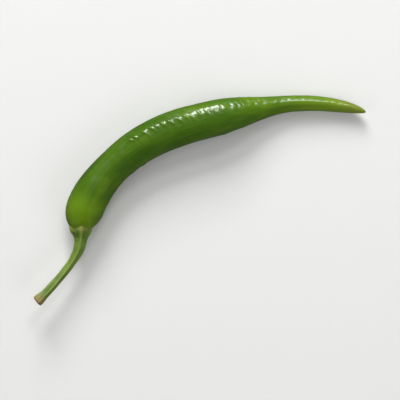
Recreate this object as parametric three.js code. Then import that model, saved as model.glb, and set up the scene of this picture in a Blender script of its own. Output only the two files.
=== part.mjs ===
// A long green chilli pepper, picked with its stalk and lying on its side, as a three.js scene graph.
// It has three pieces: the pod, the calyx (the cap of joined sepals) and the stem (the stalk it hung by).
// Each piece is turned as a straight lathe form, and then bent along one line that runs through all three.
// Millimetres, +Z up. The origin is under the middle of the bounding box, on the surface it rests on.

import * as THREE from "three";

// ---- Driving dimensions ----

// The pod. Stations along it are shares of its length, from the neck (0) to the tip (1).
const POD_LENGTH = 198; // along its curved middle line
const POD_DIAMETER = 21.8; // across its widest part
const POD_GIRTH = [
  // [station, share of the diameter]
  [0.0, 1.0],
  [0.11, 1.0],
  [0.23, 0.91],
  [0.41, 0.98],
  [0.54, 0.97],
  [0.62, 0.82],
  [0.68, 0.63],
  [0.76, 0.45],
  [0.88, 0.38],
  [1.0, 0.26],
];
const SHOULDER_LENGTH = 14; // the rounded end at the neck
const POINT_LENGTH = 17; // the rounded point at the tip
const POD_HEIGHT_SHARE = 0.96; // the pod is a little lower than it is wide

// The way the pepper bends on the surface: [station, heading in degrees from +X].
const POD_HEADING = [
  [0.0, 62],
  [0.06, 46],
  [0.13, 28],
  [0.25, 12],
  [0.36, -2],
  [0.5, -14],
  [0.68, -17],
  [0.8, -27],
  [1.0, -46],
];
const STEM_HEADING = [
  // stations here are shares of the length of calyx and stem, counted back from the neck
  [0.0, 62],
  [0.12, 52],
  [0.3, 31],
  [0.55, 22],
  [1.0, 15],
];

// Seed chambers swell the pod into soft lobes: [station, swell as a share of the radius].
const LOBES = 3;
const LOBE_SWELL = [
  [0.0, 0.0],
  [0.03, 0.0],
  [0.09, 0.045],
  [0.3, 0.03],
  [0.6, 0.02],
  [0.8, 0.012],
  [1.0, 0.0],
];
const LOBE_TWIST = 0.9; // radians, over the pod's length
const LOBE_START = 0.5; // radians, at the neck

// Resting: the soft underside is pressed flat this far where it touches the surface.
const REST_PRESS = 0.32;
const TAIL_STATION = 0.88; // past this the tail no longer follows the surface
const TIP_RISE = 1.6; // how far the tip lifts past that station

// The calyx sits on the pod's shoulder, and the stem on the calyx.
const CALYX_DIAMETER = 12.4; // across the rim, between the teeth
const CALYX_HEIGHT = 6.4; // from the neck to its seat for the stem
const CALYX_RIM = 0.8; // thickness at the rim
const BELL_TURN = 0.3; // how far up its height the calyx turns from slim to wide, as a share
const TOOTH_REACH = 1.2; // how far each tooth runs past the rim
const TOOTH_ROOT = 0.7; // where a tooth starts, as a share of the rim's radius
const TOOTH_COUNT = 5;
const CALYX_RIB = 0.25;
const STEM_LENGTH = 42; // along its curve, past the calyx
const STEM_BASE_DIAMETER = 6.8;
const STEM_DIAMETER = 4.8;
const STEM_END_DIAMETER = 6.2;
const STEM_RIB = 0.25;
const STEM_RIBS = 5;
const STEM_RISE = 4; // its cut end lies this much higher than the neck

const CLEARANCE = 0.36; // between neighbouring pieces; the bend narrows it a little on its inner side

// Facets
const POD_SIDES = 30;
const POD_STEP = 3.2; // between the rings of the pod's long middle
const END_RINGS = 7; // in each rounded end
const CALYX_SIDES = 40;
const STEM_SIDES = 20;
const STEM_STEP = 2.4;
const WALK_STEP = 0.5; // when the middle line is worked out

// ---- Smooth tables ----

// The value at a station, on a smooth curve through a table of [station, value]. The curve is level where
// the values turn, so it never swings past them.
function along(table, station) {
  const last = table.length - 1;
  if (station <= table[0][0]) return table[0][1];
  if (station >= table[last][0]) return table[last][1];
  const i = table.findIndex(([next]) => next > station) - 1;
  const rise = (k) => (table[k + 1][1] - table[k][1]) / (table[k + 1][0] - table[k][0]);
  const slope = (k) => {
    if (k === 0) return rise(0);
    if (k === last) return rise(last - 1);
    const [before, after] = [rise(k - 1), rise(k)];
    return before * after > 0 ? (2 * before * after) / (before + after) : 0;
  };
  const gap = table[i + 1][0] - table[i][0];
  const t = (station - table[i][0]) / gap;
  const between = table[i][1] + t * t * (3 - 2 * t) * (table[i + 1][1] - table[i][1]);
  return between + gap * t * (1 - t) * ((1 - t) * slope(i) - t * slope(i + 1));
}

// 1 in the body, falling to 0 at an end, as a quarter of an ellipse does.
function roundedEnd(distance, length) {
  const out = 1 - Math.min(Math.max(distance / length, 0), 1);
  return Math.sqrt(1 - out * out);
}

// ---- The middle line ----

// The pod's radius at a distance from the neck.
function podRadius(distance) {
  const rounded = roundedEnd(distance, SHOULDER_LENGTH) * roundedEnd(POD_LENGTH - distance, POINT_LENGTH);
  return (POD_DIAMETER / 2) * along(POD_GIRTH, distance / POD_LENGTH) * rounded;
}

// The heading at a distance from the neck; the calyx and the stem lie at distances below 0.
function heading(distance) {
  const degrees =
    distance < 0
      ? along(STEM_HEADING, -distance / (CALYX_HEIGHT + STEM_LENGTH))
      : along(POD_HEADING, distance / POD_LENGTH);
  return THREE.MathUtils.degToRad(degrees);
}

// The height of the middle line: the pod follows the surface, and its tip and the stem rise from it.
function middleHeight(distance) {
  const tail = TAIL_STATION * POD_LENGTH;
  const followed = Math.min(Math.max(distance, SHOULDER_LENGTH), tail);
  const height = podRadius(followed) * POD_HEIGHT_SHARE - REST_PRESS;
  const pastTail = Math.max(distance - tail, 0) / (POD_LENGTH - tail);
  const intoStem = Math.max(-distance, 0) / (CALYX_HEIGHT + STEM_LENGTH);
  return height + TIP_RISE * pastTail ** 2 + STEM_RISE * intoStem ** 1.5;
}

// The point on the middle line at a distance, found by walking from the neck along the heading.
function middlePoint(distance) {
  const steps = Math.max(1, Math.ceil(Math.abs(distance) / WALK_STEP));
  const step = distance / steps;
  const point = new THREE.Vector3(0, 0, middleHeight(distance));
  for (let i = 0; i < steps; i++) {
    const direction = heading((i + 0.5) * step);
    point.x += Math.cos(direction) * step;
    point.y += Math.sin(direction) * step;
  }
  return point;
}

// Bends a lathe form, whose Y is the distance from the neck, onto the middle line.
// Angles go round each ring from straight up. shape(angle, radius, distance) gives the ribs and lobes.
function bend(geometry, shape, heightShare = 1) {
  const position = geometry.getAttribute("position");
  for (let i = 0; i < position.count; i++) {
    const distance = position.getY(i);
    const angle = Math.atan2(position.getX(i), position.getZ(i));
    const radius = shape(angle, Math.hypot(position.getX(i), position.getZ(i)), distance);
    const point = middlePoint(distance);
    const direction = heading(distance);
    const sideways = radius * Math.sin(angle);
    point.x += Math.sin(direction) * sideways;
    point.y -= Math.cos(direction) * sideways;
    point.z += radius * Math.cos(angle) * heightShare;
    position.setXYZ(i, point.x, point.y, Math.max(point.z, 0));
  }
  geometry.computeVertexNormals();
  return geometry;
}

function piece(name, geometry, material) {
  const mesh = new THREE.Mesh(geometry, new THREE.MeshStandardMaterial(material));
  mesh.name = name;
  return mesh;
}

// ---- The pod ----

// Where the pod's rings stand: close together in its rounded ends, and evenly between them.
function podDistances() {
  const distances = [];
  const middle = POD_LENGTH - SHOULDER_LENGTH - POINT_LENGTH;
  const rings = Math.ceil(middle / POD_STEP);
  const fromEnd = (i) => 1 - Math.cos(((i / END_RINGS) * Math.PI) / 2);
  for (let i = 0; i < END_RINGS; i++) distances.push(SHOULDER_LENGTH * fromEnd(i));
  for (let i = 0; i < rings; i++) distances.push(SHOULDER_LENGTH + (middle * i) / rings);
  for (let i = END_RINGS; i >= 0; i--) distances.push(POD_LENGTH - POINT_LENGTH * fromEnd(i));
  return distances;
}

function pod() {
  const outline = podDistances().map((distance) => new THREE.Vector2(podRadius(distance), distance));
  const lobed = (angle, radius, distance) => {
    const station = distance / POD_LENGTH;
    const turned = LOBES * angle + LOBE_START + LOBE_TWIST * LOBES * station;
    return radius * (1 + along(LOBE_SWELL, station) * Math.cos(turned));
  };
  const geometry = bend(new THREE.LatheGeometry(outline, POD_SIDES), lobed, POD_HEIGHT_SHARE);
  return piece("pod", geometry, { color: 0x55751a, roughness: 0.28, metalness: 0 });
}

// ---- The calyx ----

// How far from the neck the calyx's lining lies at a radius. It follows the pod's shoulder, which is half
// an ellipsoid, and is larger all round by the clearance.
function liningDistance(radius) {
  const share = Math.min(radius / (POD_DIAMETER / 2 + CLEARANCE), 1);
  return SHOULDER_LENGTH - (SHOULDER_LENGTH + CLEARANCE) * Math.sqrt(1 - share * share);
}

// The rim is drawn out into teeth that lie along the shoulder.
function calyx() {
  const rim = CALYX_DIAMETER / 2;
  const seat = STEM_BASE_DIAMETER / 2 + STEM_RIB;
  const bell = new THREE.CubicBezierCurve(
    new THREE.Vector2(seat, -CALYX_HEIGHT),
    new THREE.Vector2(seat, -CALYX_HEIGHT * BELL_TURN),
    new THREE.Vector2(rim, -CALYX_HEIGHT * BELL_TURN),
    new THREE.Vector2(rim, liningDistance(rim) - CALYX_RIM),
  ).getPoints(8);
  const lining = [1, 0.92, 0.84, 0.7, 0.5, 0.25, 0].map((share) => {
    const radius = rim * share;
    return new THREE.Vector2(radius, liningDistance(radius));
  });
  const outline = [new THREE.Vector2(0, -CALYX_HEIGHT), ...bell, ...lining];
  const geometry = new THREE.LatheGeometry(outline, CALYX_SIDES);

  const position = geometry.getAttribute("position");
  for (let i = 0; i < position.count; i++) {
    const [x, y, z] = [position.getX(i), position.getY(i), position.getZ(i)];
    const radius = Math.hypot(x, z);
    const tooth = Math.max(0, Math.cos(TOOTH_COUNT * Math.atan2(x, z))) ** 1.5;
    const nearRim = Math.max(0, (radius / rim - TOOTH_ROOT) / (1 - TOOTH_ROOT)) ** 2;
    const longer = radius + TOOTH_REACH * tooth * nearRim;
    const stretch = radius > 0 ? longer / radius : 1;
    const slide = liningDistance(longer) - liningDistance(radius);
    position.setXYZ(i, x * stretch, y + slide, z * stretch);
  }

  const ribbed = (angle, radius, distance) => {
    const outside = radius >= seat && distance < liningDistance(radius) - CALYX_RIM / 2;
    return radius + (outside ? CALYX_RIB * Math.cos(TOOTH_COUNT * angle) : 0);
  };
  return piece("calyx", bend(geometry, ribbed), { color: 0x7a9632, roughness: 0.5, metalness: 0 });
}

// ---- The stem ----

// It is thickest where it meets the calyx, slim along its middle, and flares again at the cut end.
function stem() {
  const base = -(CALYX_HEIGHT + CLEARANCE);
  const cut = -(CALYX_HEIGHT + STEM_LENGTH);
  const thickness = [
    // [share of the way from the calyx to the cut end, diameter]
    [0.0, STEM_BASE_DIAMETER],
    [0.12, (STEM_BASE_DIAMETER + STEM_DIAMETER) / 2],
    [0.3, STEM_DIAMETER],
    [0.8, STEM_DIAMETER],
    [0.95, STEM_END_DIAMETER],
    [1.0, STEM_END_DIAMETER],
  ];
  const rings = Math.ceil((base - cut) / STEM_STEP);
  const outline = [new THREE.Vector2(0, cut)];
  for (let i = 0; i <= rings; i++) {
    const share = 1 - i / rings;
    const distance = THREE.MathUtils.lerp(base, cut, share);
    outline.push(new THREE.Vector2(along(thickness, share) / 2, distance));
  }
  outline.push(new THREE.Vector2(0, base));
  const ribbed = (angle, radius) => (radius > 0 ? radius + STEM_RIB * Math.cos(STEM_RIBS * angle) : 0);
  const geometry = bend(new THREE.LatheGeometry(outline, STEM_SIDES), ribbed);
  return piece("stem", geometry, { color: 0x8fa54a, roughness: 0.6, metalness: 0 });
}

// ---- The pepper ----

const pepper = new THREE.Group();
pepper.add(pod(), calyx(), stem());

const box = new THREE.Box3().setFromObject(pepper, true);
const middle = box.getCenter(new THREE.Vector3());
pepper.position.set(-middle.x, -middle.y, -box.min.z);

export default pepper;
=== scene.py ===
"""A long green chilli pepper, picked with its stalk and lying on a pale table.

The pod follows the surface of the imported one, and the calyx and the stem follow the pod. One line runs
through all three: each of them is shaped straight first, and then bent onto that line.
"""

import bisect
import math

import bmesh
import bpy
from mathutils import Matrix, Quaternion, Vector, noise
from mathutils.bvhtree import BVHTree


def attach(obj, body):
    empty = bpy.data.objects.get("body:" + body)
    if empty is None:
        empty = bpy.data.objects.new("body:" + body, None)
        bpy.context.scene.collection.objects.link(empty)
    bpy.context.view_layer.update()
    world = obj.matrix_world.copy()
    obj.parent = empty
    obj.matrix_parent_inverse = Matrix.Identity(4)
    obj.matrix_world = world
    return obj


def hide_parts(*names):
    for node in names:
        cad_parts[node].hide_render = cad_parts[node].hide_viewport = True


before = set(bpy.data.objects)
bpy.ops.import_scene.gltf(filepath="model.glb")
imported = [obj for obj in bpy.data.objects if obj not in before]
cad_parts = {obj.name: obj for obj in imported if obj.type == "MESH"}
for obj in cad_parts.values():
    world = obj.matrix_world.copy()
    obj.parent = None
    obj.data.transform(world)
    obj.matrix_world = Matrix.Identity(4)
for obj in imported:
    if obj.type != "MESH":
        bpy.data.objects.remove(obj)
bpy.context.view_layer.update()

# ---- The pod ----
# The fruit: a long hollow berry with a thin, taut, waxy skin, mid green and glossy. A ball is drawn out to
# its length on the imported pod's surface, and then gets its dents, the furrows between its seed chambers,
# the creases where it bends and the fine ripples of its skin.

MM = 0.001
UP = Vector((0, 0, 1))
FAR = 1.0  # well clear of the pepper
POD_LENGTH = 198 * MM
POD_HEADING = [  # (share of the pod's length, degrees from +X)
    (0.0, 62), (0.06, 46), (0.13, 28), (0.25, 12), (0.36, -2), (0.5, -14), (0.68, -17), (0.8, -27),
    (1.0, -46),
]
NECK = Vector((-67.804 * MM, -6.011 * MM, 0))  # where the pod starts, seen from above
STALK_LENGTH = 48.4 * MM  # the calyx and the stem, behind the neck
STALK_HEADING = [(0.0, 62), (0.12, 52), (0.3, 31), (0.55, 22), (1.0, 15)]  # shares counted from the neck
STALK_RISE = 4 * MM  # the cut end lies this much higher than the neck
STALK_LIFT = 1.5  # 1 would be a straight climb, and more keeps it low near the neck
PACE = 0.5 * MM  # between the line's points
HEIGHT_STEPS = 90
HEIGHT_MARGIN = 1 * MM  # the pod's heights are taken this far inside its neck and its tip
TINY = 1e-6  # a radius or a thickness below this counts as none


def curve(table, place):
    """The value at a place on a smooth curve through (place, value) pairs. It is level where they turn."""
    last = len(table) - 1
    if place <= table[0][0]:
        return table[0][1]
    if place >= table[last][0]:
        return table[last][1]
    i = bisect.bisect(table, place, key=lambda pair: pair[0]) - 1
    rises = [(b[1] - a[1]) / (b[0] - a[0]) for a, b in zip(table, table[1:])]

    def slope(k):
        if k in (0, last):
            return rises[min(k, last - 1)]
        before, after = rises[k - 1], rises[k]
        return 2 * before * after / (before + after) if before * after > 0 else 0

    gap = table[i + 1][0] - table[i][0]
    t = (place - table[i][0]) / gap
    between = table[i][1] + t * t * (3 - 2 * t) * (table[i + 1][1] - table[i][1])
    return between + gap * t * (1 - t) * ((1 - t) * slope(i) - t * slope(i + 1))


def ahead_at(distance):
    """The level direction of the middle line, towards the tip. Distances behind the neck are below 0."""
    if distance < 0:
        degrees = curve(STALK_HEADING, -distance / STALK_LENGTH)
    else:
        degrees = curve(POD_HEADING, distance / POD_LENGTH)
    return Vector((math.cos(math.radians(degrees)), math.sin(math.radians(degrees)), 0))


to_tip, to_cut_end = [NECK], [NECK]
while len(to_tip) * PACE < POD_LENGTH + PACE:
    to_tip.append(to_tip[-1] + ahead_at((len(to_tip) - 0.5) * PACE) * PACE)
while len(to_cut_end) * PACE < STALK_LENGTH + PACE:
    to_cut_end.append(to_cut_end[-1] - ahead_at((0.5 - len(to_cut_end)) * PACE) * PACE)


def plan_point(distance):
    """The point of the middle line at a distance from the neck, seen from above."""
    points = to_tip if distance >= 0 else to_cut_end
    share = abs(distance) / PACE
    i = min(math.floor(share), len(points) - 2)
    return points[i].lerp(points[i + 1], share - i)


pod_solid = BVHTree.FromObject(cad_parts["pod"], bpy.context.evaluated_depsgraph_get())
heights = []
for i in range(HEIGHT_STEPS + 1):
    place = HEIGHT_MARGIN + (POD_LENGTH - 2 * HEIGHT_MARGIN) * i / HEIGHT_STEPS
    point = plan_point(place)
    top = pod_solid.ray_cast(point + UP * FAR, -UP)[0]
    bottom = pod_solid.ray_cast(point - UP * FAR, UP)[0]
    heights.append((place, (top.z + bottom.z) / 2))


def on_line(distance):
    """The point of the middle line at a distance from the neck, and the level direction to its right."""
    height = curve(heights, distance) + STALK_RISE * (max(-distance, 0) / STALK_LENGTH) ** STALK_LIFT
    return plan_point(distance) + UP * height, ahead_at(distance).cross(UP)


def bent(straight):
    """Where a point of a straight form (distance, across, up) goes when it is bent onto the middle line."""
    point, right = on_line(straight.x)
    return point + right * straight.y + UP * straight.z


def around(angle):
    """The direction at an angle round the straight form, from straight up and turning to the right."""
    return Vector((0, math.sin(angle), math.cos(angle)))


def pod_reach(distance, angle):
    """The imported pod's radius at a distance and an angle."""
    point, right = on_line(distance)
    way = right * math.sin(angle) + UP * math.cos(angle)
    return pod_solid.ray_cast(point, way)[3] or 0.0


POD_SIDES = 24
POD_RINGS = 64
POD_REFINEMENT = 3
ROUNDING = 6 / (4 + 2 * math.cos(2 * math.pi / POD_SIDES))  # makes up for what the refinement draws in
END_SHARE = 0.14  # of the rings, in each rounded end
END_LENGTH = 14 * MM


def ring_distance(share):
    """Where a ring stands, closer together in the two rounded ends than between them."""
    if share > 0.5:
        return POD_LENGTH - ring_distance(1 - share)
    if share < END_SHARE:
        return END_LENGTH * (1 - math.cos(share / END_SHARE * math.pi / 2))
    return END_LENGTH + (POD_LENGTH / 2 - END_LENGTH) * (share - END_SHARE) / (0.5 - END_SHARE)


bm = bmesh.new()
bmesh.ops.create_uvsphere(bm, u_segments=POD_SIDES, v_segments=POD_RINGS, radius=1)
straight_form = bm.verts.layers.float_vector.new("straight")
for vert in bm.verts:
    share = math.acos(min(max(-vert.co.z, -1), 1)) / math.pi
    distance = ring_distance(share)
    straight = Vector((distance, 0, 0))
    if math.hypot(vert.co.x, vert.co.y) > TINY:
        angle = math.atan2(vert.co.x, vert.co.y)
        straight += around(angle) * pod_reach(distance, angle) * ROUNDING
    vert[straight_form] = straight
    vert.co = bent(straight)

cage_mesh = bpy.data.meshes.new("pod_cage")
bm.to_mesh(cage_mesh)
bm.free()
cage = bpy.data.objects.new("pod_cage", cage_mesh)
bpy.context.scene.collection.objects.link(cage)
refining = cage.modifiers.new("refine", "SUBSURF")
refining.levels = refining.render_levels = POD_REFINEMENT
bm = bmesh.new()
bm.from_object(cage, bpy.context.evaluated_depsgraph_get())
bpy.data.objects.remove(cage)

# Rows of creases pressed in where the pod bends: where the row starts and ends, its angle from the top at
# its start and its end, spacing, half width, half spread round the pod in degrees, depth, and how far each
# crease slants over its spread. Millimetres and degrees.
CREASE_ROWS = [
    (58, 96, -38, -28, 4.3, 0.85, 23, 0.34, 2.0),
    (98, 138, -30, -36, 3.6, 0.8, 15, 0.17, 0.3),
    (24, 62, 104, 92, 8.5, 1.2, 29, 0.2, 1.5),
    (112, 128, 78, 66, 7.5, 1.3, 30, 0.17, 2.0),
    (119, 131, -84, -80, 6.0, 1.2, 24, 0.16, -1.8),
]
UNEVEN_PLACE = 0.9  # how far a crease strays along its row, as a share of the spacing
UNEVEN_ANGLE = 9  # and round the pod, in degrees
UNEVEN_DEPTH = 0.9  # and how much its depth varies, as a share
CREASE_WAVE, CREASE_WAVINESS = 0.5, 2.2  # a crease isn't straight: how far it waves, and how quickly
FADED = 3  # this many half widths or half spreads from its middle, a crease has run out

creases = []
for start, end, first_angle, last_angle, spacing, width, spread, deep, slant in CREASE_ROWS:
    count = round((end - start) / spacing)
    for i in range(count + 1):
        chance = [noise.noise(Vector((start + i * 1.7, seed + 0.5, 0.3))) for seed in range(3)]
        place = start + (end - start) * i / count + UNEVEN_PLACE * spacing * chance[0]
        angle = first_angle + (last_angle - first_angle) * i / count + UNEVEN_ANGLE * chance[1]
        creases.append((place, angle, width, spread, deep * (1 + UNEVEN_DEPTH * chance[2]), slant))

FURROWS = [  # angle at the neck, half width in degrees, depth, and where each starts and ends
    (-104, 12, 0.26, -20, 150), (-50, 11, 0.5, 46, 104), (24, 12, 0.14, -20, 130),
    (146, 12, 0.22, -20, 150),
]
FURROW_TWIST = 50  # degrees, over the pod's length
FURROW_FADE = 20  # the length over which a furrow fades in and out
TAIL_FLAT = (126, 150, -10, 38, 0.5)  # starts, is full from, angle, half spread, depth

# Chance changes: size, length of the pattern along the pod and round it, and a number to tell them apart.
DENTS = (0.34, 23, 14, 0)  # the pod's uneven girth
SWELLS = (0.1, 8, 7, 40)
GRIT = (0.16, 2.9, 2.6, 60)
LOOSENESS = (1.3, 16, 8, 80)  # of the skin, where it ripples more or less
DRIFT = (0.8, 13, 9, 20)  # of the ripples along the pod
RIPPLE, RIPPLE_LENGTH = 0.062, 4.6  # the fine cross ripples that break up a highlight
RIPPLED = (40, 62, -33, 30)  # starts, is full from, angle, half spread
RIPPLE_SLOPE = 380  # degrees round the pod over which the ripples slope by one ripple
USUAL_LOOSENESS, LEAST_LOOSENESS = 0.85, 0.2
TAUT_GRIT = 0.3  # the share of the grit that taut skin keeps
PLAIN_NECK = (3, 9)  # the shoulder under the calyx is plain, and the dents start between these distances
PLAIN_RADIUS = 3  # they shrink where the pod is thinner than this


def smooth_step(value, start, end):
    t = min(max((value - start) / (end - start), 0), 1)
    return t * t * (3 - 2 * t)


def turn_between(a, b):
    """The turn from b to a in degrees, from -180 to 180."""
    return (a - b + 180) % 360 - 180


def by_chance(place, pattern):
    """A smooth chance change at a place of a straight form, which is in millimetres."""
    size, length, girth, number = pattern
    return size * noise.noise(Vector((place.x / length, place.y / girth, place.z / girth + number)))


def pressed(straight):
    """How far the skin lies in from the plain pod, in millimetres."""
    here = straight / MM
    distance, across, up = here
    angle = math.degrees(math.atan2(across, up))
    depth = by_chance(here, DENTS) + by_chance(here, SWELLS)
    start, full, side, spread = RIPPLED
    loose = max(USUAL_LOOSENESS + by_chance(here, LOOSENESS), LEAST_LOOSENESS)
    loose *= smooth_step(distance, start, full) * math.exp(-((turn_between(angle, side) / spread) ** 2))
    drift = by_chance(here, DRIFT) + angle / RIPPLE_SLOPE
    depth += RIPPLE * loose * math.sin(2 * math.pi * (distance / RIPPLE_LENGTH + drift))
    depth += by_chance(here, GRIT) * (TAUT_GRIT + (1 - TAUT_GRIT) * min(loose, 1))
    for place, side, width, spread, deep, slant in creases:
        turn = turn_between(angle, side) / spread
        if abs(turn) < FADED:
            wave = CREASE_WAVE * math.sin(turn * CREASE_WAVINESS)
            off = (distance - place - slant * turn - wave) / width
            if abs(off) < FADED:
                depth += deep * math.exp(-off * off - turn * turn)
    for side, spread, deep, start, end in FURROWS:
        turn = turn_between(angle, side + FURROW_TWIST * distance * MM / POD_LENGTH) / spread
        fade = smooth_step(distance, start, start + FURROW_FADE)
        fade *= 1 - smooth_step(distance, end - FURROW_FADE, end)
        depth += deep * fade * math.exp(-turn * turn)
    start, full, side, spread, deep = TAIL_FLAT
    turn = turn_between(angle, side) / spread
    depth += deep * smooth_step(distance, start, full) * math.exp(-turn * turn)
    return depth * min(math.hypot(across, up) / PLAIN_RADIUS, 1) * smooth_step(distance, *PLAIN_NECK)


straight_form = bm.verts.layers.float_vector["straight"]
bm.normal_update()
moves = [(vert, vert.normal * -pressed(vert[straight_form]) * MM) for vert in bm.verts]
for vert, move in moves:
    vert.co += move
    vert.co.z = max(vert.co.z, 0)


def add_node(material, kind, inputs=None, **settings):
    """Adds a shader node; each of its inputs gets a value or, from an output of another node, a link."""
    made = material.node_tree.nodes.new("ShaderNode" + kind)
    for name, value in settings.items():
        setattr(made, name, value)
    for name, value in (inputs or {}).items():
        if isinstance(value, bpy.types.NodeSocket):
            material.node_tree.links.new(value, made.inputs[name])
        else:
            made.inputs[name].default_value = value
    return made


def straight_place(material):
    """The piece's straight form, and its distance from the neck."""
    place = add_node(material, "Attribute", attribute_name="straight").outputs["Vector"]
    return place, add_node(material, "SeparateXYZ", {"Vector": place}).outputs["X"]


def grain(material, place, pitch, detail=3.0):
    """A noise pattern whose pitch is given in metres for each direction."""
    scales = tuple(1 / length for length in pitch)
    scaled = add_node(material, "VectorMath", {0: place, 1: scales}, operation="MULTIPLY")
    pattern = {"Vector": scaled.outputs[0], "Scale": 1.0, "Detail": detail, "Roughness": 0.55}
    return add_node(material, "TexNoise", pattern).outputs["Fac"]


def between(material, value, start, end, low=0.0, high=1.0):
    """Turns values from start to end into values from low to high."""
    span = {"Value": value, "From Min": start, "From Max": end, "To Min": low, "To Max": high}
    return add_node(material, "MapRange", span, interpolation_type="SMOOTHSTEP").outputs["Result"]


def tinted(material, share, below, above):
    """Mixes one colour into another, each a colour or another node's output."""
    return add_node(material, "Mix", {0: share, 6: below, 7: above}, data_type="RGBA").outputs[2]


def banded(material, value, bands):
    """A colour that runs through the bands, which are (place from 0 to 1, colour) pairs."""
    ramp = add_node(material, "ValToRGB", {"Fac": value})
    ramp.color_ramp.interpolation = "EASE"
    for place, colour in bands[1:-1]:
        ramp.color_ramp.elements.new(place).color = (*colour, 1)
    ends = (ramp.color_ramp.elements[0], bands[0]), (ramp.color_ramp.elements[-1], bands[-1])
    for element, (place, colour) in ends:
        element.position = place
        element.color = (*colour, 1)
    return ramp.outputs["Color"]


def times(material, a, b):
    return add_node(material, "Math", {0: a, 1: b}, operation="MULTIPLY").outputs[0]


def plus(material, a, b):
    return add_node(material, "Math", {0: a, 1: b}, operation="ADD").outputs[0]


def link_shader(material, colour, roughness, bump):
    """Gives a material's shader its patterns."""
    shader = material.node_tree.nodes["Principled BSDF"]
    material.node_tree.links.new(colour, shader.inputs["Base Color"])
    material.node_tree.links.new(roughness, shader.inputs["Roughness"])
    material.node_tree.links.new(bump.outputs["Normal"], shader.inputs["Normal"])
    return shader


def let_light_in(shader, depth):
    """Lets a little light into the flesh, where green goes furthest."""
    shader.inputs["Subsurface Weight"].default_value = 0.08
    shader.inputs["Subsurface Radius"].default_value = (0.6, 1.0, 0.2)
    shader.inputs["Subsurface Scale"].default_value = depth


SKIN_BANDS = [  # along the pod, from the neck to the tip
    (0.0, (0.125, 0.225, 0.002)),
    (0.012, (0.109, 0.21, 0.002)),
    (0.05, (0.052, 0.124, 0.002)),
    (0.3, (0.054, 0.132, 0.002)),
    (0.62, (0.051, 0.127, 0.003)),
    (0.8, (0.068, 0.152, 0.003)),
    (0.95, (0.115, 0.21, 0.006)),
    (1.0, (0.16, 0.21, 0.02)),
]
DEEP_GREEN = (0.02, 0.066, 0.003, 1)
LIME = (0.17, 0.27, 0.006, 1)
FLECK = (0.2, 0.28, 0.05, 1)
SCAR = (0.12, 0.065, 0.025, 1)  # the dry remains of the flower, on the tip
SCAR_LENGTH = 0.4 * MM

skin = bpy.data.materials.new("waxy_green_skin")
skin.use_nodes = True
place, distance = straight_place(skin)
colour = banded(skin, between(skin, distance, 0.0, POD_LENGTH), SKIN_BANDS)
mottle = grain(skin, place, (0.026, 0.012, 0.012), 2.0)
colour = tinted(skin, between(skin, mottle, 0.5, 0.75, 0.0, 0.42), colour, DEEP_GREEN)
colour = tinted(skin, between(skin, mottle, 0.48, 0.3, 0.0, 0.35), colour, LIME)
streak = grain(skin, place, (0.03, 0.0016, 0.0016), 3.0)
colour = tinted(skin, between(skin, streak, 0.5, 0.7, 0.0, 0.16), colour, LIME)
colour = tinted(skin, between(skin, streak, 0.5, 0.3, 0.0, 0.22), colour, DEEP_GREEN)
speck = grain(skin, place, (0.0011, 0.0011, 0.0011), 1.0)
colour = tinted(skin, between(skin, speck, 0.66, 0.74, 0.0, 0.16), colour, FLECK)
scar_edge = plus(skin, distance, times(skin, grain(skin, place, (0.001, 0.001, 0.001)), 0.0006))
colour = tinted(skin, between(skin, scar_edge, POD_LENGTH - SCAR_LENGTH, POD_LENGTH), colour, SCAR)
bloom = grain(skin, place, (0.009, 0.006, 0.006), 3.0)
fine = grain(skin, place, (0.0016, 0.0009, 0.0009), 2.0)
pores = grain(skin, place, (0.00035, 0.00035, 0.00035), 2.0)
relief = plus(skin, fine, times(skin, pores, 0.25))
bump = add_node(skin, "Bump", {"Height": relief, "Distance": 0.00006, "Strength": 0.35})
shader = link_shader(skin, colour, between(skin, bloom, 0.3, 0.7, 0.28, 0.42), bump)
shader.inputs["IOR"].default_value = 1.4
shader.inputs["Coat Weight"].default_value = 0.55
shader.inputs["Coat Roughness"].default_value = 0.1
let_light_in(shader, 2 * MM)


def smooth_piece(name, bm, material, levels):
    """Makes a bmesh an object with smooth faces and, where there are levels, a live refinement."""
    bm.normal_update()
    bmesh.ops.recalc_face_normals(bm, faces=bm.faces)
    mesh = bpy.data.meshes.new(name)
    bm.to_mesh(mesh)
    bm.free()
    mesh.shade_smooth()
    mesh.materials.append(material)
    piece = bpy.data.objects.new(name, mesh)
    bpy.context.scene.collection.objects.link(piece)
    if levels:
        smoothing = piece.modifiers.new("smooth", "SUBSURF")
        smoothing.levels = smoothing.render_levels = levels
    return piece


pod_piece = smooth_piece("pod_skin", bm, skin, 0)
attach(pod_piece, "root")
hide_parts("pod")

# ---- The calyx ----
# The cap of five joined sepals, leathery and pale green. Its outline is turned round the line, its rim is
# drawn out into teeth that lie along the pod's shoulder, and a rib runs from each tooth into the stem.

CALYX_SIDES = 60
CALYX_OUTLINE = [  # (distance from the neck, radius) in mm, from inside the seat over the bell to the rim
    (-5.6, 0.0), (-6.2, 1.6), (-6.9, 2.6), (-7.5, 3.0), (-7.35, 3.2), (-6.8, 3.34), (-6.1, 3.42),
    (-5.2, 3.5), (-4.3, 3.66), (-3.4, 3.98), (-2.5, 4.42), (-1.6, 4.9), (-0.7, 5.36), (0.15, 5.74),
    (0.95, 6.02),
]
RIM = 6.2 * MM
LINING = [1.0, 0.97, 0.93, 0.86, 0.74, 0.55, 0.3, 0.0]  # shares of the rim's radius
LINING_DEPTH = 0.1 * MM  # how far the lining lies in the pod's skin, so that no gap shows
TEETH = [  # angle, reach in mm, half width in degrees
    (4, 1.25, 15), (75, 0.85, 13), (148, 1.15, 16), (213, 0.95, 12), (290, 1.3, 15),
]
TOOTH_ROOT = 0.72  # of the rim's radius
TOOTH_START = 1.6  # 1 would draw a tooth out evenly from its root, and more does it nearer the rim
TOOTH_ROUNDNESS = 1.5  # 1 would be a sharp tooth, and 2 a round one
RIB_HEIGHT = 0.42  # of the five main ribs, in mm
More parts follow.
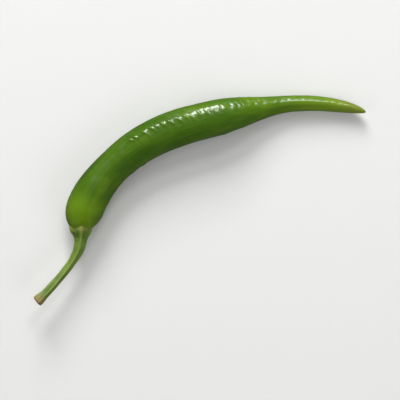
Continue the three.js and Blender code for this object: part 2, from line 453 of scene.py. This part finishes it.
RIBS = [(angle, RIB_HEIGHT, 9) for angle, reach, width in TEETH] + [  # angle, height in mm, half width
    (38, 0.16, 7), (112, 0.18, 8), (181, 0.15, 7), (252, 0.17, 8), (328, 0.15, 7),
]
RIM_WAVE, RIM_WAVINESS = 0.16, 2.4  # the rim between the teeth: how far it waves, and how quickly
RIM_CUT = 0.12  # and how far it lies in
WAIST, WAIST_PLACE, WAIST_SPREAD = 0.2, -2.2, 2.2  # the hollow over the bell
LUMPS = 0.2
LUMPY = (-6, -4)  # distances from the neck over which the lumps fade in
SEAT_LIP = 0.14  # how far the seat is drawn in, to tuck into the stem
SEAT_TUCK = (5.2, 6.2)  # distances behind the neck over which it is
OUTSIDE = (2.6 * MM, 3.2 * MM)  # radii between the seat's inside and its outside
RIM_RIBS = 0.35  # the share of a rib's height that stands out sideways at the rim
RIM_RIB_LIFT = 0.45  # and the share that lifts it off the pod there
PALE_EDGE = (RIM - 0.6 * MM, RIM + 0.9 * MM)  # radii over which the rim turns pale


def shoulder(radius, angle):
    """The distance from the neck at which the pod's shoulder has a radius."""
    widest = pod_reach(END_LENGTH, angle)
    return END_LENGTH * (1 - math.sqrt(max(1 - (radius / widest) ** 2, 0)))


def rib_height(degrees, ribs):
    """How far the ribs stand out at an angle, in millimetres."""
    return sum(
        height * math.exp(-((turn_between(degrees, angle) / width) ** 2)) for angle, height, width in ribs
    )


def turned_form(outline, sides):
    """Turns an outline of (distance, radius) pairs round the line, as a closed straight form."""
    bm = bmesh.new()
    edge_points = [bm.verts.new((distance * MM, 0, radius * MM)) for distance, radius in outline]
    for pair in zip(edge_points, edge_points[1:]):
        bm.edges.new(pair)
    bmesh.ops.spin(
        bm, geom=bm.verts[:] + bm.edges[:], axis=(1, 0, 0), cent=(0, 0, 0), angle=2 * math.pi, steps=sides,
        use_merge=True,
    )
    bmesh.ops.remove_doubles(bm, verts=bm.verts, dist=TINY)
    return bm


lining = [(shoulder(RIM * share, 0) / MM, RIM * share / MM) for share in LINING]
bm = turned_form(CALYX_OUTLINE + lining, CALYX_SIDES)
straight_form = bm.verts.layers.float_vector.new("straight")
ridge = bm.verts.layers.float.new("ridge")
edge_share = bm.verts.layers.float.new("edge")
for vert in bm.verts:
    radius = math.hypot(vert.co.y, vert.co.z)
    angle = math.atan2(vert.co.y, vert.co.z)
    degrees = math.degrees(angle)
    above = shoulder(radius, 0) - vert.co.x  # how thick the calyx is here
    inside = above < TINY
    near_rim = min(max((radius / RIM - TOOTH_ROOT) / (1 - TOOTH_ROOT), 0), 1) ** TOOTH_START
    drawn = sum(
        reach * math.exp(-abs(turn_between(degrees, side) / width) ** TOOTH_ROUNDNESS)
        for side, reach, width in TEETH
    )
    wave = RIM_WAVE * noise.noise(around(angle) * RIM_WAVINESS)
    longer = radius + (drawn + wave - RIM_CUT) * MM * near_rim
    rise = rib_height(degrees, RIBS)
    distance = shoulder(longer, angle) - above + (LINING_DEPTH if inside else 0)
    if radius > TINY and not inside:
        place = vert.co.x / MM
        waist = WAIST * math.exp(-(((place - WAIST_PLACE) / WAIST_SPREAD) ** 2))
        lumps = LUMPS * noise.noise(vert.co / MM / 2) * smooth_step(place, *LUMPY)
        lip = SEAT_LIP * smooth_step(-place, *SEAT_TUCK)
        outer = smooth_step(radius, *OUTSIDE)
        sideways = RIM_RIBS + (1 - RIM_RIBS) * (1 - near_rim)
        longer += (rise - waist + lumps - lip) * MM * outer * sideways
        distance -= RIM_RIB_LIFT * rise * MM * outer * near_rim
    vert[ridge] = min(rise / RIB_HEIGHT, 1) if not inside else 0
    vert[edge_share] = smooth_step(longer, *PALE_EDGE)
    straight = around(angle) * longer
    straight.x = distance
    vert[straight_form] = straight
    vert.co = bent(straight)

SEPAL = (0.115, 0.2, 0.016, 1)
SEPAL_DEEP = (0.055, 0.12, 0.008, 1)
SEPAL_RIB = (0.25, 0.34, 0.06, 1)
SEPAL_EDGE = (0.3, 0.31, 0.07, 1)
SEPAL_DRY = (0.19, 0.11, 0.035, 1)
SEAT_GREEN = (0.12, 0.2, 0.022, 1)  # the stem's seat, where the calyx takes on the stem's colour
SEAT_BLEND = (-3.2 * MM, -6.4 * MM)  # distances over which it does

sepal = bpy.data.materials.new("leathery_sepal")
sepal.use_nodes = True
place, distance = straight_place(sepal)
on_rib = add_node(sepal, "Attribute", attribute_name="ridge").outputs["Fac"]
at_edge = add_node(sepal, "Attribute", attribute_name="edge").outputs["Fac"]
mottle = grain(sepal, place, (0.004, 0.003, 0.003), 3.0)
colour = tinted(sepal, between(sepal, mottle, 0.4, 0.65), SEPAL_DEEP, SEPAL)
colour = tinted(sepal, times(sepal, on_rib, 0.75), colour, SEPAL_RIB)
colour = tinted(sepal, times(sepal, at_edge, 0.6), colour, SEPAL_EDGE)
fibre = grain(sepal, place, (0.006, 0.0005, 0.0005), 3.0)
colour = tinted(sepal, between(sepal, fibre, 0.5, 0.75, 0.0, 0.3), colour, SEPAL_RIB)
colour = tinted(sepal, between(sepal, distance, *SEAT_BLEND, 0.0, 0.75), colour, SEAT_GREEN)
scuff = grain(sepal, place, (0.0022, 0.0014, 0.0014), 3.0)
worn = plus(sepal, times(sepal, at_edge, 0.11), scuff)  # the rim is scuffed more than the rest
colour = tinted(sepal, between(sepal, worn, 0.64, 0.76, 0.0, 0.75), colour, SEPAL_DRY)
speck = grain(sepal, place, (0.0005, 0.0005, 0.0005), 2.0)
relief = plus(sepal, fibre, times(sepal, speck, 0.6))
bump = add_node(sepal, "Bump", {"Height": relief, "Distance": 0.0002, "Strength": 0.45})
let_light_in(link_shader(sepal, colour, between(sepal, mottle, 0.3, 0.7, 0.4, 0.58), bump), 1.5 * MM)

calyx_piece = smooth_piece("calyx_cap", bm, sepal, 2)
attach(calyx_piece, "root")
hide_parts("calyx")

# ---- The stem ----
# The stalk that the fruit hung by: tough, fibrous and ridged, thickest at the calyx. It flares at the end
# where it was cut from the plant, and that end has dried to a light brown, with pith in its middle.

STEM_SIDES = 60
STEM_SEAT, STEM_END = 5.6, 47.8  # where its side starts and ends behind the neck, in mm
STEM_GIRTH = [  # (distance behind the neck, radius) in mm
    (STEM_SEAT, 3.4), (6.76, 3.4), (11.8, 2.9), (16, 2.5), (19, 2.38), (28, 2.3), (36, 2.42), (41, 2.5),
    (44.5, 2.85), (46.6, 3.08), (STEM_END, 3.05),
]
STEM_RINGS = 56
CUT_END = [  # (distance from the neck, radius) in mm, from the edge over the cut face to its middle
    (-48.2, 2.85), (-48.35, 2.5), (-48.2, 2.0), (-47.9, 1.3), (-47.85, 0.6), (-47.9, 0.0),
]
STEM_RIBS = [(angle, RIB_HEIGHT, 12) for angle, reach, width in TEETH] + [
    (38, 0.1, 8), (112, 0.12, 8), (181, 0.1, 8), (252, 0.11, 8), (328, 0.1, 8),
]
STEM_TWIST = 0.5  # degrees for each mm
TWIST_START = 6  # behind the neck
KNOTS = (0.2, 6, 2, 0)  # chance changes, given as the pod's are
FIBRES = (0.06, 1.6, 1.2, 9)
KNOTTED = (7, 12)  # distances over which they fade in, behind the calyx
RIB_DRAW = 0.14  # how far the grooves between the ribs are drawn in
ROUND_RADIUS = 2 * MM  # the ribs run out on the cut face, inside this radius
PITH_RADII = (0.7, 2.6)  # the pith is pure inside the first, and has ended at the second, in mm
RAGGED, RAGGED_LENGTH = 0.25, 0.9  # how uneven the cut is
SLANT, SLANT_TURN = 0.35, 0.8  # how far it slants at its edge, and towards which side (radians)
CUT_RADIUS = 3 * MM
CUT_REACH = (45, 48)  # distances behind the neck over which the slant sets in

ring_places = [STEM_SEAT + (STEM_END - STEM_SEAT) * i / STEM_RINGS for i in range(STEM_RINGS + 1)]
sides = [(STEM_SEAT, 0.0)] + [(place, curve(STEM_GIRTH, place)) for place in ring_places]
bm = turned_form([(-place, radius) for place, radius in sides] + CUT_END, STEM_SIDES)
straight_form = bm.verts.layers.float_vector.new("straight")
ridge = bm.verts.layers.float.new("ridge")
core = bm.verts.layers.float.new("core")
for vert in bm.verts:
    radius = math.hypot(vert.co.y, vert.co.z)
    angle = math.atan2(vert.co.y, vert.co.z)
    back = -vert.co.x / MM
    rise = rib_height(math.degrees(angle) - STEM_TWIST * (back - TWIST_START), STEM_RIBS)
    here = Vector((back, vert.co.y / MM, vert.co.z / MM))
    knots = (by_chance(here, KNOTS) + by_chance(here, FIBRES)) * smooth_step(back, *KNOTTED)
    radius += (rise - RIB_DRAW + knots) * MM * min(radius / ROUND_RADIUS, 1)
    vert[ridge] = min(rise / RIB_HEIGHT, 1)
    vert[core] = 1 - smooth_step(radius / MM, *PITH_RADII) if back > STEM_END - 0.1 else 0
    ragged = RAGGED * noise.noise(Vector((4, here.y / RAGGED_LENGTH, here.z / RAGGED_LENGTH)))
    slanted = SLANT * math.cos(angle - SLANT_TURN) * radius / CUT_RADIUS
    straight = around(angle) * radius
    straight.x = vert.co.x - (slanted + ragged) * smooth_step(back, *CUT_REACH) * MM
    vert[straight_form] = straight
    vert.co = bent(straight)

STALK = (0.125, 0.21, 0.02, 1)
STALK_DEEP = (0.066, 0.13, 0.011, 1)
STALK_RIDGE = (0.26, 0.34, 0.075, 1)
STALK_DRY = (0.26, 0.17, 0.065, 1)
CUT_BROWN = (0.13, 0.075, 0.03, 1)
PITH = (0.38, 0.3, 0.15, 1)
STALK_BLEND = (-11.5 * MM, -6.6 * MM)  # distances over which the stem takes on the seat's green
DRYING = (-39.5 * MM, -44.5 * MM)  # over which it dries
BROWNING = (-46.8 * MM, -47.6 * MM)  # and over which it turns to the brown of the cut

stalk = bpy.data.materials.new("fibrous_stalk")
stalk.use_nodes = True
place, distance = straight_place(stalk)
on_rib = add_node(stalk, "Attribute", attribute_name="ridge").outputs["Fac"]
in_core = add_node(stalk, "Attribute", attribute_name="core").outputs["Fac"]
mottle = grain(stalk, place, (0.009, 0.003, 0.003), 3.0)
colour = tinted(stalk, between(stalk, mottle, 0.35, 0.65), STALK_DEEP, STALK)
colour = tinted(stalk, times(stalk, on_rib, 0.6), colour, STALK_RIDGE)
fibre = grain(stalk, place, (0.008, 0.00035, 0.00035), 3.0)
colour = tinted(stalk, between(stalk, fibre, 0.52, 0.72, 0.0, 0.4), colour, STALK_RIDGE)
colour = tinted(stalk, between(stalk, distance, *STALK_BLEND, 0.0, 0.75), colour, SEAT_GREEN)
scuff = grain(stalk, place, (0.0035, 0.0012, 0.0012), 3.0)
colour = tinted(stalk, between(stalk, scuff, 0.66, 0.76, 0.0, 0.5), colour, STALK_DRY)
drying = plus(stalk, distance, times(stalk, scuff, 0.005))
dryness = between(stalk, drying, *DRYING)
colour = tinted(stalk, times(stalk, dryness, 0.8), colour, STALK_DRY)
cut = between(stalk, plus(stalk, distance, times(stalk, scuff, 0.001)), *BROWNING)
colour = tinted(stalk, times(stalk, cut, 0.85), colour, CUT_BROWN)
colour = tinted(stalk, times(stalk, in_core, 0.8), colour, PITH)
grit = grain(stalk, place, (0.0005, 0.0003, 0.0003), 2.0)
relief = plus(stalk, fibre, times(stalk, grit, 0.4))
bump = add_node(stalk, "Bump", {"Height": relief, "Distance": 0.00025, "Strength": 0.5})
link_shader(stalk, colour, between(stalk, dryness, 0.0, 1.0, 0.46, 0.78), bump)

stem_piece = smooth_piece("stem_stalk", bm, stalk, 1)
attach(stem_piece, "root")
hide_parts("stem")

# ---- The table, the lights and the camera ----
# A matt white table whose edge curves up into a low white wall. The key light is a low softbox beyond the
# arch, with a smaller one higher up for the tail, and three weak ones lift the shadows. The camera looks
# straight down, and the stem points to its lower left.

ROLL = math.radians(28.8)
CAMERA_HEIGHT = 1.2
LENS = 186
SENSOR = 36
COVE_START = 1.7
COVE_RADIUS = 0.8
COVE_STEPS = 24
WALL_HEIGHT = 1.2
TABLE_SIDES = 96
TABLE_WHITE = (0.7, 0.7, 0.69, 1)
AMBIENT_LIGHT = 0.05
VIEW_RIGHT = Vector((math.cos(ROLL), -math.sin(ROLL), 0))
VIEW_UP = Vector((math.sin(ROLL), math.cos(ROLL), 0))

bm = bmesh.new()
flat = bm.verts.new((0, 0, 0)), bm.verts.new((COVE_START, 0, 0))
bm.edges.new(flat)
cove = bmesh.ops.spin(
    bm, geom=[flat[1]], axis=(0, -1, 0), cent=(COVE_START, 0, COVE_RADIUS), angle=math.pi / 2,
    steps=COVE_STEPS,
)
cove_top = [geom for geom in cove["geom_last"] if isinstance(geom, bmesh.types.BMVert)]
wall = bmesh.ops.extrude_vert_indiv(bm, verts=cove_top)
bmesh.ops.translate(bm, verts=wall["verts"], vec=(0, 0, WALL_HEIGHT))
bmesh.ops.spin(
    bm, geom=bm.verts[:] + bm.edges[:], axis=(0, 0, 1), cent=(0, 0, 0), angle=2 * math.pi,
    steps=TABLE_SIDES, use_merge=True,
)
bmesh.ops.remove_doubles(bm, verts=bm.verts, dist=1e-5)
bmesh.ops.recalc_face_normals(bm, faces=bm.faces)
floor_mesh = bpy.data.meshes.new("table_top")
bm.to_mesh(floor_mesh)
bm.free()
floor = bpy.data.objects.new("table_top", floor_mesh)
bpy.context.scene.collection.objects.link(floor)
paint = bpy.data.materials.new("matt_white")
paint.use_nodes = True
paint.node_tree.nodes["Principled BSDF"].inputs["Base Color"].default_value = TABLE_WHITE
paint.node_tree.nodes["Principled BSDF"].inputs["Roughness"].default_value = 0.8
floor_mesh.materials.append(paint)
floor.visible_glossy = False  # its white would veil the green of the skin

corners = [vert.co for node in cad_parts.values() for vert in node.data.vertices]
across = [corner.dot(VIEW_RIGHT) for corner in corners]
upward = [corner.dot(VIEW_UP) for corner in corners]
middle = VIEW_RIGHT * (min(across) + max(across)) / 2 + VIEW_UP * (min(upward) + max(upward)) / 2

camera_data = bpy.data.cameras.new("camera")
camera_data.lens = LENS
camera_data.sensor_width = SENSOR
camera = bpy.data.objects.new("camera", camera_data)
bpy.context.scene.collection.objects.link(camera)
camera.location = middle + UP * CAMERA_HEIGHT
camera.rotation_euler = (0, 0, -ROLL)
bpy.context.scene.camera = camera

# Name, width, height, power in watts, bearing from the view's top (clockwise), angle from overhead, turn in
# its own plane, distance. Metres and degrees.
SOFTBOXES = [
    ("key_softbox", 0.9, 0.8, 46, -10, 62, 6, 2.0),
    ("side_softbox", 0.6, 0.5, 9, 15, 44, 0, 2.0),
    ("left_fill", 1.2, 0.9, 4, -110, 60, 0, 1.8),
    ("front_fill", 1.2, 0.9, 6, 125, 50, 0, 1.8),
    ("top_fill", 1.6, 1.6, 8, 0, 0, 0, 1.8),
]
for name, width, height, power, bearing, lean, roll, away in SOFTBOXES:
    lamp_data = bpy.data.lights.new(name, "AREA")
    lamp_data.shape = "RECTANGLE"
    lamp_data.size = width
    lamp_data.size_y = height
    lamp_data.energy = power
    lamp = bpy.data.objects.new(name, lamp_data)
    bpy.context.scene.collection.objects.link(lamp)
    turn, tilt = math.radians(bearing), math.radians(lean)
    level = VIEW_UP * math.cos(turn) + VIEW_RIGHT * math.sin(turn)
    direction = level * math.sin(tilt) + UP * math.cos(tilt)
    lamp.location = middle + direction * away
    facing = direction.to_track_quat("Z", "Y") @ Quaternion(Vector((0, 0, 1)), math.radians(roll))
    lamp.rotation_euler = facing.to_euler()
    lamp.visible_glossy = name.endswith("softbox")  # the fills only lift the shadows

world = bpy.data.worlds.new("studio")
bpy.context.scene.world = world
world.use_nodes = True
world.node_tree.nodes["Background"].inputs["Color"].default_value = (1, 1, 1, 1)
world.node_tree.nodes["Background"].inputs["Strength"].default_value = AMBIENT_LIGHT
bpy.context.scene.view_settings.view_transform = "Standard"
